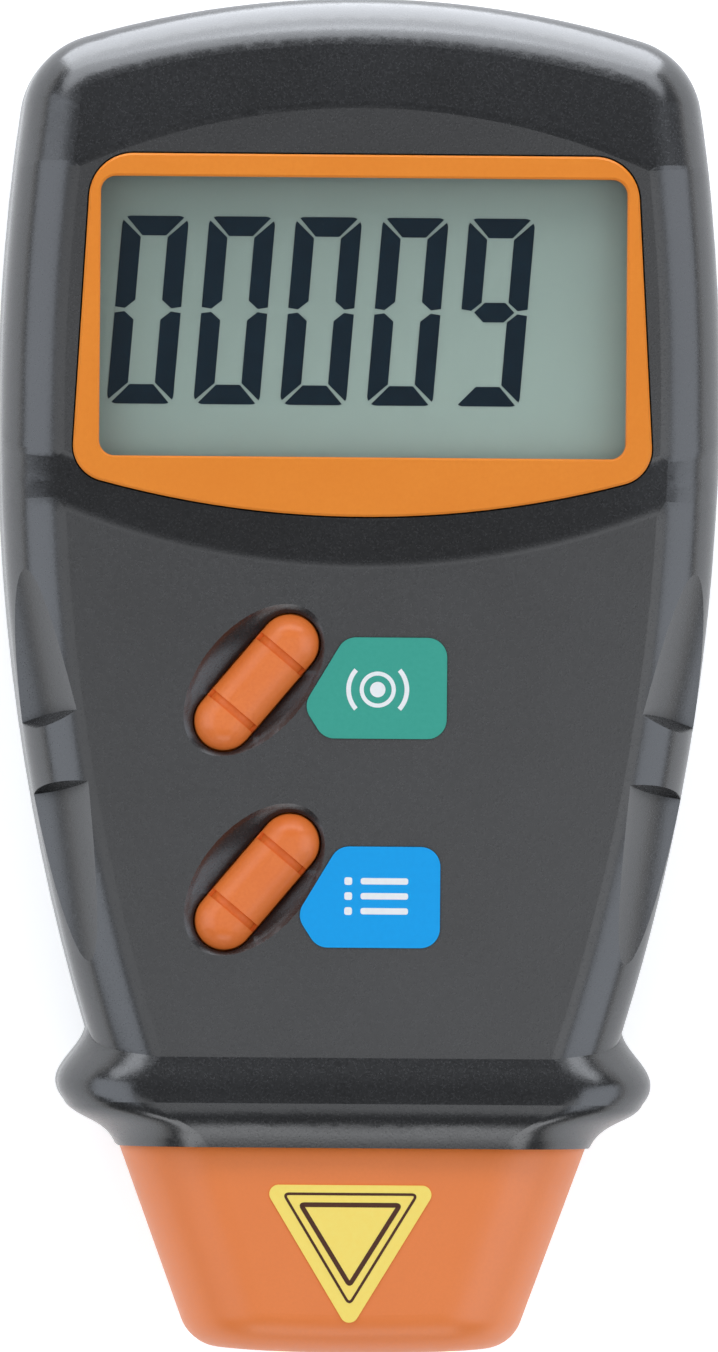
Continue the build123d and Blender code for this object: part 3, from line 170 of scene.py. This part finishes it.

# Display cell
# Two sheets of thin glass with liquid crystal between them, under a grey-green polarising film.
# Painted shade and light: the film is painted darker towards the far left corner, where the border
# shades it, and lighter towards the near right, as a painted sheen of the lamps.
# The painted shade and light run along this line, from its shaded far end to its lit near end.
CELL_SHADED_END = Vector((-24, 47.5, 0)) * MM
CELL_LIT_END = Vector((-10, 9, 0)) * MM
CELL_MIST = 0.06
cell_film_painted_light, tree, place = start("polarising_film_painted_light")
across = CELL_LIT_END - CELL_SHADED_END
turn = Matrix.Rotation(-math.atan2(across.y, across.x), 3, "Z")
run = add(tree, "Mapping", {"Location": -(turn @ CELL_SHADED_END) / across.length,
                            "Rotation": (0, 0, -math.atan2(across.y, across.x)),
                            "Scale": Vector((1, 1, 1)) / across.length}, {"Vector": place})
painted_light_fall = add(tree, "TexGradient", {}, {"Vector": run.outputs[0]})
mist = add(tree, "TexNoise", {"Scale": 1 / (0.4 * MM), "Detail": 2.0}, {"Vector": place})
# Random mist in the film's tone, added to the painted shade-to-light ramp.
soft = add(tree, "Math", {"operation": "MULTIPLY_ADD", 1: CELL_MIST},
           {0: mist.outputs[0], 2: painted_light_fall.outputs["Fac"]})
# Darker tint: the film in painted shade; lighter tint: the film with painted light.
tint = add(tree, "Mix", {"data_type": "RGBA", 6: linear("#808B83"), 7: linear("#ABB9AE")},
           {0: soft.outputs[0]})
film = add(tree, "BsdfPrincipled", {"Roughness": 0.3, "IOR": 1.5}, {"Base Color": tint.outputs[2]})
close(tree, film)
dress(cell_film_painted_light, "lcd_cell")

# Display segments
# The dark bars of the figures, a blue-black print of crystal that is thinner than paper. It has
# no gloss of its own.
segment_ink, tree, place = start("crystal_segment")
ink_mist = add(tree, "TexNoise", {"Scale": 1 / (1.5 * MM)}, {"Vector": place})
tint = add(tree, "Mix", {"data_type": "RGBA", 6: linear("#0E1D28"), 7: linear("#152733")},
           {0: ink_mist.outputs[0]})
ink = add(tree, "BsdfPrincipled", {"Roughness": 0.6, "Specular IOR Level": 0.0},
          {"Base Color": tint.outputs[2]})
close(tree, ink)
dress(segment_ink, "lcd_segments")

# Reflector, tray and connector strips of the display
# White diffusing film behind the cell, a black moulded tray that holds it, and two strips of
# rubber whose thin dark layers carry the signals.
white_film, tree, place = start("diffusing_film")
fleck = add(tree, "TexNoise", {"Scale": 1 / (0.3 * MM)}, {"Vector": place})
tint = add(tree, "Mix", {"data_type": "RGBA", 6: linear("#D8DAD6"), 7: linear("#E6E8E4")},
           {0: fleck.outputs[0]})
film = add(tree, "BsdfPrincipled", {"Roughness": 0.7}, {"Base Color": tint.outputs[2]})
close(tree, film)
dress(white_film, "lcd_reflector")
black_plastic = moulded("black_inner_plastic", "#151517", "#1D1D20", rough=0.5, grain=0.3, depth=0.004)
dress(black_plastic, "lcd_tray", "optics_holder")
layered_rubber, tree, place = start("layered_rubber")
LAYER_PITCH = 0.6
WAVE_LENGTH = math.tau / 10
layers = add(tree, "TexWave", {"Scale": 1 / (LAYER_PITCH * MM * WAVE_LENGTH), "Distortion": 0.0},
             {"Vector": place})
tint = add(tree, "Mix", {"data_type": "RGBA", 6: linear("#1C1C1E"), 7: linear("#8F9096")},
           {0: layers.outputs[1]})
rubber = add(tree, "BsdfPrincipled", {"Roughness": 0.65}, {"Base Color": tint.outputs[2]})
close(tree, rubber)
dress(layered_rubber, "zebra_strips")


# Key fields and pointer
# Screen printed areas, a few hundredths of a millimetre proud of the plastic. The ink is thick
# and even, with a slight orange-peel skin and a soft gloss.
def printed(name, dark, light, rough=0.4):
    """Screen ink: two close tints, and a skin of shallow dimples half a millimetre apart."""
    made, tree, place = start(name)
    dimples = add(tree, "TexNoise", {"Scale": 1 / (0.5 * MM), "Detail": 1.0}, {"Vector": place})
    tint = add(tree, "Mix", {"data_type": "RGBA", 6: linear(dark), 7: linear(light)},
               {0: dimples.outputs[0]})
    skin = add(tree, "Bump", {"Distance": 0.002 * MM}, {"Height": dimples.outputs[0]})
    close(tree, add(tree, "BsdfPrincipled", {"Roughness": rough, "Specular IOR Level": 0.3},
                    {"Base Color": tint.outputs[2], "Normal": skin.outputs[0]}))
    return made


dress(printed("green_screen_ink", "#359D8A", "#3FA592"), "test_label")
dress(printed("blue_screen_ink", "#009DE5", "#01A3EA"), "mem_label")
dress(printed("yellow_screen_ink", "#FFE06A", "#FFE676"), "nose_label")
white_ink = printed("white_screen_ink", "#E9EBEA", "#F2F4F3")
brown_ink = printed("brown_screen_ink", "#4A2A1C", "#573324")

# Outlines on the pointer
# Two fine brown triangles printed inside the pointer's edge, the inner one bolder. They lie on
# the pointer and follow the slope of the nose. Each row of sizes is the half width, the gap to
# the pointer's back edge, the gap to its tip, and the width of the line.
POINTER_LINES = ((6.7, 0.75, 1.5, 0.26), (5.2, 1.7, 3.2, 0.46))
POINTER_CORNER = 0.75
LABEL_THICKNESS = 0.12
INK_HEIGHT = 0.02


def piece(name, mesh, finish, body="case"):
    """An object from a bmesh, with its finish, riding on a body."""
    data = bpy.data.meshes.new(name)
    mesh.to_mesh(data)
    mesh.free()
    made = bpy.data.objects.new(name, data)
    bpy.context.scene.collection.objects.link(made)
    data.materials.append(finish)
    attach(made, body)
    return made


def raise_print(mesh, height=INK_HEIGHT * MM):
    """Gives flat faces the thickness of a print, upwards."""
    ring = bmesh.ops.extrude_face_region(mesh, geom=list(mesh.faces))
    up = [v for v in ring["geom"] if isinstance(v, bmesh.types.BMVert)]
    bmesh.ops.translate(mesh, verts=up, vec=(0, 0, height))
    bmesh.ops.recalc_face_normals(mesh, faces=mesh.faces)


low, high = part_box("nose_label")
slope = math.atan2(high.z - low.z - LABEL_THICKNESS * MM, high.y - low.y)
centre_x = (low.x + high.x) / 2
for number, (half, back_gap, tip_gap, width) in enumerate(POINTER_LINES, 1):
    mesh = bmesh.new()
    back_y = high.y - back_gap * MM
    tip_y = low.y + tip_gap * MM
    corners = [mesh.verts.new((centre_x + side * half * MM, back_y, 0)) for side in (1, -1)]
    corners.append(mesh.verts.new((centre_x, tip_y, 0)))
    mesh.faces.new(corners)
    bmesh.ops.bevel(mesh, geom=list(mesh.verts), offset=POINTER_CORNER * MM, segments=6, profile=0.5,
                    affect="VERTICES", material=-1)
    line = bmesh.ops.inset_region(mesh, faces=list(mesh.faces), thickness=width * MM,
                                  use_boundary=True, use_even_offset=True)["faces"]
    bmesh.ops.delete(mesh, geom=[f for f in mesh.faces if f not in line], context="FACES")
    raise_print(mesh)
    bmesh.ops.rotate(mesh, verts=mesh.verts, cent=(0, high.y, 0), matrix=Matrix.Rotation(slope, 3, "X"))
    bmesh.ops.translate(mesh, verts=mesh.verts, vec=(0, 0, high.z))
    piece(f"pointer_line_{number}", mesh, brown_ink)

# Sign on the green field
# White print: a shaft seen end on, with a short turning mark on each side of it. It says which
# key takes a reading without a word.
SIGN_X = 1.7
TEST_SIGN_Y = -1.3
SHAFT_RADIUS = 0.75
SHAFT_RING = (1.35, 1.75)
MARK_RING = (2.6, 3.05)
MARK_HALF = 42


def ring_part(mesh, inner, outer, centre, from_deg=0.0, to_deg=360.0, steps=64):
    """Adds a flat ring, or an arc of one, by spinning a short radial edge about its centre."""
    spin = Matrix.Rotation(math.radians(from_deg), 3, "Z")
    ends = [mesh.verts.new(Vector(centre) + spin @ Vector((r * MM, 0, 0))) for r in (inner, outer)]
    edge = mesh.edges.new(ends)
    whole = to_deg - from_deg >= 360
    bmesh.ops.spin(mesh, geom=ends + [edge], cent=centre, axis=(0, 0, 1), steps=steps,
                   angle=math.radians(to_deg - from_deg), use_merge=whole)


test_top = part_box("test_label")[1].z
test_centre = (SIGN_X * MM, TEST_SIGN_Y * MM, test_top)
mesh = bmesh.new()
bmesh.ops.create_circle(mesh, cap_ends=True, segments=40, radius=SHAFT_RADIUS * MM,
                        matrix=Matrix.Translation(test_centre))
ring_part(mesh, *SHAFT_RING, test_centre)
for side in (0, 180):
    ring_part(mesh, *MARK_RING, test_centre, side - MARK_HALF, side + MARK_HALF, 24)
bmesh.ops.recalc_face_normals(mesh, faces=mesh.faces)
raise_print(mesh)
piece("test_sign", mesh, white_ink)

# Sign on the blue field
# White print: three short bars with a square before each, for the readings that the meter keeps.
# The bars have rounded ends.
MEM_SIGN_Y = -21.3
BAR = (4.6, 0.62)
BAR_PITCH = 1.45
BAR_SHIFT = 0.8
SQUARE = 0.75
SQUARE_X = -2.7
BAR_ROUND = 0.22
mem_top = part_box("mem_label")[1].z
mesh = bmesh.new()
for row in (-1, 0, 1):
    y = MEM_SIGN_Y + row * BAR_PITCH
    for x, width, height in ((SIGN_X + BAR_SHIFT, *BAR), (SIGN_X + SQUARE_X, SQUARE, SQUARE)):
        size = Matrix.Diagonal((width * MM, height * MM, 1, 1))
        at = Matrix.Translation((x * MM, y * MM, mem_top))
        bmesh.ops.create_grid(mesh, x_segments=1, y_segments=1, size=0.5, matrix=at @ size)
bmesh.ops.bevel(mesh, geom=list(mesh.verts), offset=BAR_ROUND * MM, offset_type="OFFSET", segments=5,
                profile=0.5, affect="VERTICES", material=-1)
raise_print(mesh)
piece("mem_sign", mesh, white_ink)

# Red window of the nose
# A flat of dark red acrylic that lets the red spot and its echo pass. It is polished, and looks
# almost black until light comes through it.
red_acrylic, tree, place = start("red_acrylic")
streak = add(tree, "TexNoise", {"Scale": 1 / (6 * MM)}, {"Vector": place})
tint = add(tree, "Mix", {"data_type": "RGBA", 6: linear("#6A0A10"), 7: linear("#7C0E14")},
           {0: streak.outputs[0]})
close(tree, add(tree, "BsdfPrincipled", {"Roughness": 0.06, "IOR": 1.49, "Transmission Weight": 0.55},
                {"Base Color": tint.outputs[2]}))
dress(red_acrylic, "nose_window")

# Lenses
# Two lenses of clear crown glass, ground and polished, the large one for the echo and the small
# one for the laser. Each sits on a step in its tube.
lens_glass, tree, _ = start("polished_lens")
clear = add(tree, "BsdfPrincipled", {"Base Color": linear("#F4FAFA"), "Roughness": 0.02,
                                     "Transmission Weight": 1.0, "IOR": 1.52})
close(tree, clear)
dress(lens_glass, "collector_lens", "laser_lens")

# Circuit boards
# Glass-fibre board under green solder mask. Copper tracks a quarter of a millimetre wide show
# through the mask as paler lines.
solder_mask, tree, place = start("solder_mask")
tracks = add(tree, "TexBrick", {"Scale": 1 / (4 * MM), "Mortar Size": 0.06, "Mortar Smooth": 0.2,
                                "Color1": linear("#0F5A33"), "Color2": linear("#12623A"),
                                "Mortar": linear("#2E8450")}, {"Vector": place})
raised = add(tree, "Bump", {"Distance": 0.03 * MM}, {"Height": tracks.outputs["Fac"]})
close(tree, add(tree, "BsdfPrincipled", {"Roughness": 0.3},
                {"Base Color": tracks.outputs["Color"], "Normal": raised.outputs[0]}))
dress(solder_mask, "main_board", "optics_board")

# Moulded electronic parts
# Chip, sensor, switches, header and resistors, moulded in matt black epoxy with a fine sanded
# skin and soldered to the boards. The plungers between keys and switches are natural acetal.
sanded_epoxy = moulded("sanded_epoxy", "#17171A", "#222226", rough=0.55, grain=0.15, depth=0.004)
dress(sanded_epoxy, "controller_chip", "photodiode", "test_switch", "mem_switch", "header_block",
      "resistors")
natural_acetal = moulded("natural_acetal", "#9C9C96", "#A9A9A2", rough=0.4, grain=0.4, depth=0.003)
dress(natural_acetal, "test_plunger", "mem_plunger")


# Metal parts
# Nickel-plated steel screws, cans and pins, and a barrel turned from brass. Drawing and turning
# leave fine lines that stretch the highlights.
def drawn_metal(name, dark, light, rough, pitch):
    """Bare metal with fine tool lines `pitch` mm apart around it."""
    made, tree, place = start(name)
    lines = add(tree, "TexNoise", {"Scale": 1 / (pitch * MM), "Detail": 2.0}, {"Vector": place})
    tint = add(tree, "Mix", {"data_type": "RGBA", 6: linear(dark), 7: linear(light)},
               {0: lines.outputs[0]})
    dull = add(tree, "MapRange", {"To Min": rough - 0.06, "To Max": rough + 0.08},
               {"Value": lines.outputs[0]})
    skin = add(tree, "Bump", {"Distance": 0.002 * MM}, {"Height": lines.outputs[0]})
    close(tree, add(tree, "BsdfPrincipled", {"Metallic": 1.0},
                    {"Base Color": tint.outputs[2], "Roughness": dull.outputs[0],
                     "Normal": skin.outputs[0]}))
    return made


nickel_plate = drawn_metal("nickel_plate", "#B9B8B2", "#CDCCC7", rough=0.3, pitch=0.25)
dress(nickel_plate, "crystal", "capacitors", "case_screws", "board_screws", "optics_screws",
      "laser_diode", "header_pins")
dress(drawn_metal("turned_brass", "#C9A45A", "#DDBB72", rough=0.28, pitch=0.2), "laser_barrel")

# Battery and its snap
# A 9 V block in a painted steel can, a black vinyl snap cap, a thin foam pad, and two leads in
# red and black vinyl that run from the cap to the board.
painted_can = moulded("painted_can", "#2C3138", "#363C45", rough=0.3, grain=0.8, depth=0.002, cloud=20)
dress(painted_can, "battery")
black_vinyl = moulded("black_vinyl", "#121213", "#1B1B1D", rough=0.48, grain=0.4, depth=0.006)
dress(black_vinyl, "battery_snap", "black_lead")
red_vinyl = moulded("red_vinyl", "#B01E1A", "#C02822", rough=0.42, grain=0.4, depth=0.004)
dress(red_vinyl, "red_lead")
foam, tree, place = start("closed_cell_foam")
cells = add(tree, "TexVoronoi", {"Scale": 1 / (0.5 * MM)}, {"Vector": place})
tint = add(tree, "Mix", {"data_type": "RGBA", 6: linear("#101011"), 7: linear("#2B2B2D")},
           {0: cells.outputs[0]})
pits = add(tree, "Bump", {"Distance": 0.1 * MM}, {"Height": cells.outputs[0]})
close(tree, add(tree, "BsdfPrincipled", {"Roughness": 0.9}, {"Base Color": tint.outputs[2],
                                                             "Normal": pits.outputs[0]}))
dress(foam, "battery_pad")

# Studio floor
# White seamless paper that the meter lies on. It is a diffuse white with a little glow for the
# eye and a little less for reflections, so that it reads as the photograph's white but keeps a
# soft shadow.
FLOOR_SIZE = 2.0
FLOOR_DROP = 0.05
FLOOR_GLOW = 0.55
FLOOR_ECHO = 0.8
paper, tree, place = start("seamless_paper")
ray = add(tree, "LightPath")
seen = add(tree, "Math", {"operation": "ADD", "use_clamp": True},
           {0: ray.outputs["Is Camera Ray"], 1: ray.outputs["Is Transmission Ray"]})
seen = add(tree, "Math", {"operation": "MULTIPLY_ADD", 1: FLOOR_ECHO},
           {0: ray.outputs["Is Glossy Ray"], 2: seen.outputs[0]})
glow = add(tree, "Math", {"operation": "MULTIPLY", 1: FLOOR_GLOW}, {0: seen.outputs[0]})
fibre = add(tree, "TexNoise", {"Scale": 1 / (2 * MM)}, {"Vector": place})
tint = add(tree, "Mix", {"data_type": "RGBA", 6: linear("#EEEEEE"), 7: linear("#F2F2F2")},
           {0: fibre.outputs[0]})
close(tree, add(tree, "BsdfPrincipled", {"Roughness": 0.9, "Specular IOR Level": 0.1,
                                         "Emission Color": (1, 1, 1, 1)},
                {"Base Color": tint.outputs[2], "Emission Strength": glow.outputs[0]}))
mesh = bmesh.new()
bmesh.ops.create_grid(mesh, x_segments=1, y_segments=1, size=FLOOR_SIZE / 2,
                      matrix=Matrix.Translation((0, 0, -FLOOR_DROP * MM)))
data = bpy.data.meshes.new("floor")
mesh.to_mesh(data)
mesh.free()
data.materials.append(paper)
floor = bpy.data.objects.new("floor", data)
bpy.context.scene.collection.objects.link(floor)

# Studio light
# A grey studio with a white horizon. Two tall soft boxes lean over the meter from its sides, two
# more stand beyond its ends and two narrow ones hang beside the camera, so that flat faces keep a
# sheen and the slopes stay dark. A short strip light, close by, draws the line along the far edge.
STUDIO_GREY = 0.13
HORIZON = (0.06, 0.16)
COOL_RED = 0.16
COOL_GREEN = 0.1
STRIP_SIZE = (0.076, 0.015)
STRIP_GAP = 0.006
STRIP_MIDDLE = 0.0245
world = bpy.data.worlds.new("studio")
bpy.context.scene.world = world
world.use_nodes = True
world.node_tree.nodes.clear()
tree = world.node_tree
sky = add(tree, "TexCoord")
height = add(tree, "SeparateXYZ", {}, {0: sky.outputs["Generated"]})
level = add(tree, "MapRange", {"From Min": HORIZON[0], "From Max": HORIZON[1],
                               "To Min": 1.0, "To Max": STUDIO_GREY}, {"Value": height.outputs[2]})
back = add(tree, "Background", {"Color": (1, 1, 1, 1)}, {"Strength": level.outputs[0]})
add(tree, "OutputWorld", {}, {"Surface": back.outputs[0]})


def lamp(name, place, size, brightness, cool):
    """A flat lamp that shines along -Z of its place. Its brightness is what a mirror shows of it,
    with 1 for white, and a cool one is bluer."""
    light = bpy.data.lights.new(name, "AREA")
    light.shape = "RECTANGLE"
    light.size, light.size_y = size
    light.energy = brightness * math.pi * size[0] * size[1]
    light.color = (1 - COOL_RED * cool, 1 - COOL_GREEN * cool, 1.0)
    made = bpy.data.objects.new(name, light)
    bpy.context.scene.collection.objects.link(made)
    made.matrix_world = place


def soft_box(name, turn_deg, zenith_deg, distance, size, brightness, cool):
    """A soft box seen from the meter at that turn from +X and that angle from straight up."""
    aim = Matrix.Rotation(math.radians(turn_deg - 90), 4, "Z")
    aim = aim @ Matrix.Rotation(math.radians(-zenith_deg), 4, "X")
    lamp(name, aim @ Matrix.Translation((0, 0, distance)), size, brightness, cool)


soft_box("left_box", 175, 50, 1.0, (1.0, 1.0), brightness=1.6, cool=1.0)
soft_box("right_box", -5, 50, 1.0, (1.0, 1.0), brightness=1.6, cool=1.0)
soft_box("far_box", 90, 56, 1.0, (1.7, 0.38), brightness=2.9, cool=0.6)
soft_box("near_box", -90, 58, 1.0, (0.7, 0.36), brightness=2.1, cool=0.3)
soft_box("overhead_left", 196, 10, 0.9, (0.34, 0.3), brightness=0.85, cool=0.3)
soft_box("overhead_right", -14, 12, 0.9, (0.34, 0.25), brightness=1.2, cool=0.3)
strip_place = Matrix.Translation((0, cad_box[1].y + STRIP_GAP, STRIP_MIDDLE))
strip_place = strip_place @ Matrix.Rotation(-math.pi / 2, 4, "X")
lamp("far_strip", strip_place, STRIP_SIZE, brightness=4.2, cool=0.6)

# Camera
# It looks straight down on the keypad from about two and a half metres, a touch from the left
# and turned a touch, as the photograph was taken.
SHOT_HEIGHT = 131.5
SHOT_DISTANCE = 2.5
SHOT_LEAN = 2.0
SHOT_TURN = 0.46
SHOT_TARGET = Vector((0.33, 0, 14.5)) * MM
lens = bpy.data.cameras.new("camera")
camera = bpy.data.objects.new("camera", lens)
bpy.context.scene.collection.objects.link(camera)
lens.lens = lens.sensor_width * SHOT_DISTANCE / (SHOT_HEIGHT * MM)
lens.clip_start = 0.1
lens.clip_end = 20
away = Vector((-math.sin(math.radians(SHOT_LEAN)), 0, math.cos(math.radians(SHOT_LEAN))))
up = Matrix.Rotation(math.radians(SHOT_TURN), 3, "Z") @ Vector((0, 1, 0))
right = up.cross(away).normalized()
turned = Matrix((right, away.cross(right), away)).transposed().to_4x4()
turned.translation = SHOT_TARGET + away * SHOT_DISTANCE
camera.matrix_world = turned
bpy.context.scene.camera = camera
bpy.context.scene.view_settings.view_transform = "Standard"
